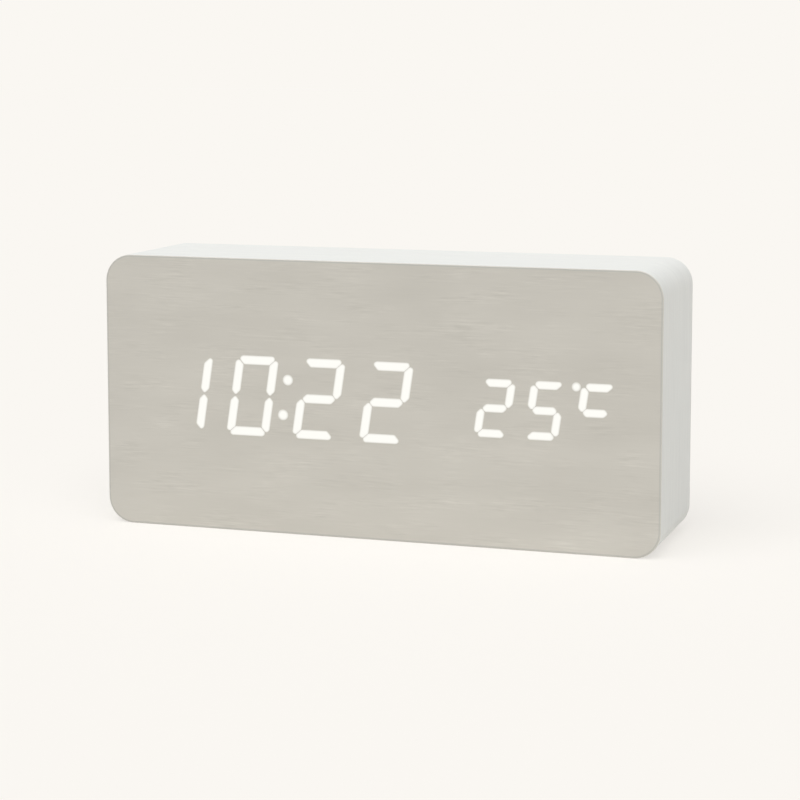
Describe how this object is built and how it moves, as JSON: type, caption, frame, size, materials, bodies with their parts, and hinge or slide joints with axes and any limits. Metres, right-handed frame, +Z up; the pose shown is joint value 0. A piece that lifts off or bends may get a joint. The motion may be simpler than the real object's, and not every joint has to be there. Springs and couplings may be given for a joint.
{
  "type": "digital alarm clock",
  "caption": "Block-shaped digital alarm clock in a film-wrapped fibreboard case, with lit digits shining through the plain front and a rear cover with buttons and a battery door.",
  "frame": {"origin": "middle of the underside, on the surface that the clock stands on", "axes": "+Z up, +X to the right of the display as it is read, front towards -Y"},
  "size_m": [0.15, 0.038, 0.072],
  "materials": {
    "case_fibreboard": "raw routed fibreboard",
    "white_film": "white wood-grain film, satin",
    "grain_film": "pale greige wood-grain film, satin",
    "reflector_white": "moulded white",
    "lit_lens": "cast translucent, lit",
    "unlit_lens": "cast translucent, unlit",
    "led_resin": "phosphor resin",
    "circuit_board": "green solder mask on glass-fibre laminate",
    "chip_epoxy": "moulded epoxy",
    "socket_nylon": "moulded off-white nylon",
    "screw_steel": "zinc plated",
    "black_screw": "black zinc",
    "cover_plastic": "spark-textured black",
    "button_plastic": "satin black",
    "cell_sleeve": "plain shrink sleeve on a steel can",
    "contact_nickel": "nickel plated spring steel",
    "lead_red": "insulated wire",
    "lead_black": "insulated wire",
    "ribbon_grey": "flat insulated cable",
    "capacitor_sleeve": "plain shrink sleeve",
    "inner_black": "moulded black"
  },
  "bodies": {
    "case": {"case_body": "case_fibreboard", "wrap_film": "white_film", "back_film": "white_film", "front_film": "grain_film", "display_reflector": "reflector_white", "lit_time_segments": "lit_lens", "lit_temperature_segments": "lit_lens", "lit_dots": "lit_lens", "unlit_segments": "unlit_lens", "led_chips": "led_resin", "display_board": "circuit_board", "control_board": "circuit_board", "driver_chip": "chip_epoxy", "controller_chip": "chip_epoxy", "chip_resistors": "chip_epoxy", "display_socket": "socket_nylon", "control_socket": "socket_nylon", "coin_cell_holder": "socket_nylon", "display_screws": "screw_steel", "board_screws": "screw_steel", "cover_screws": "black_screw", "rear_cover": "cover_plastic", "battery_cells": "cell_sleeve", "contact_plates": "contact_nickel", "contact_springs": "contact_nickel", "coin_cell_strap": "contact_nickel", "coin_cell": "contact_nickel", "crystal": "contact_nickel", "usb_shell": "contact_nickel", "microphone": "contact_nickel", "battery_lead_red": "lead_red", "battery_lead_black": "lead_black", "ribbon_cable": "ribbon_grey", "smoothing_capacitor": "capacitor_sleeve", "buzzer": "inner_black", "switch_bodies": "inner_black", "usb_tongue": "inner_black", "temperature_sensor": "inner_black"},
    "set_button": {"set_button": "button_plastic", "set_plunger": "socket_nylon"},
    "up_button": {"up_button": "button_plastic", "up_plunger": "socket_nylon"},
    "down_button": {"down_button": "button_plastic", "down_plunger": "socket_nylon"},
    "battery_door": {"battery_door": "cover_plastic"}
  },
  "joints": [
    {"name": "set_button_press", "type": "slide", "parent": "case", "child": "set_button", "axis": [0, -1, 0], "range_m": [0, 0.0004], "stiffness_N_per_m": 500},
    {"name": "up_button_press", "type": "slide", "parent": "case", "child": "up_button", "axis": [0, -1, 0], "range_m": [0, 0.0004], "stiffness_N_per_m": 500},
    {"name": "down_button_press", "type": "slide", "parent": "case", "child": "down_button", "axis": [0, -1, 0], "range_m": [0, 0.0004], "stiffness_N_per_m": 500},
    {"name": "battery_door_open", "type": "hinge", "parent": "case", "child": "battery_door", "pos_m": [-0.0289, 0.0178, 0.05495], "axis": [1, 0, 0], "range_deg": [0, 80]}
  ]
}
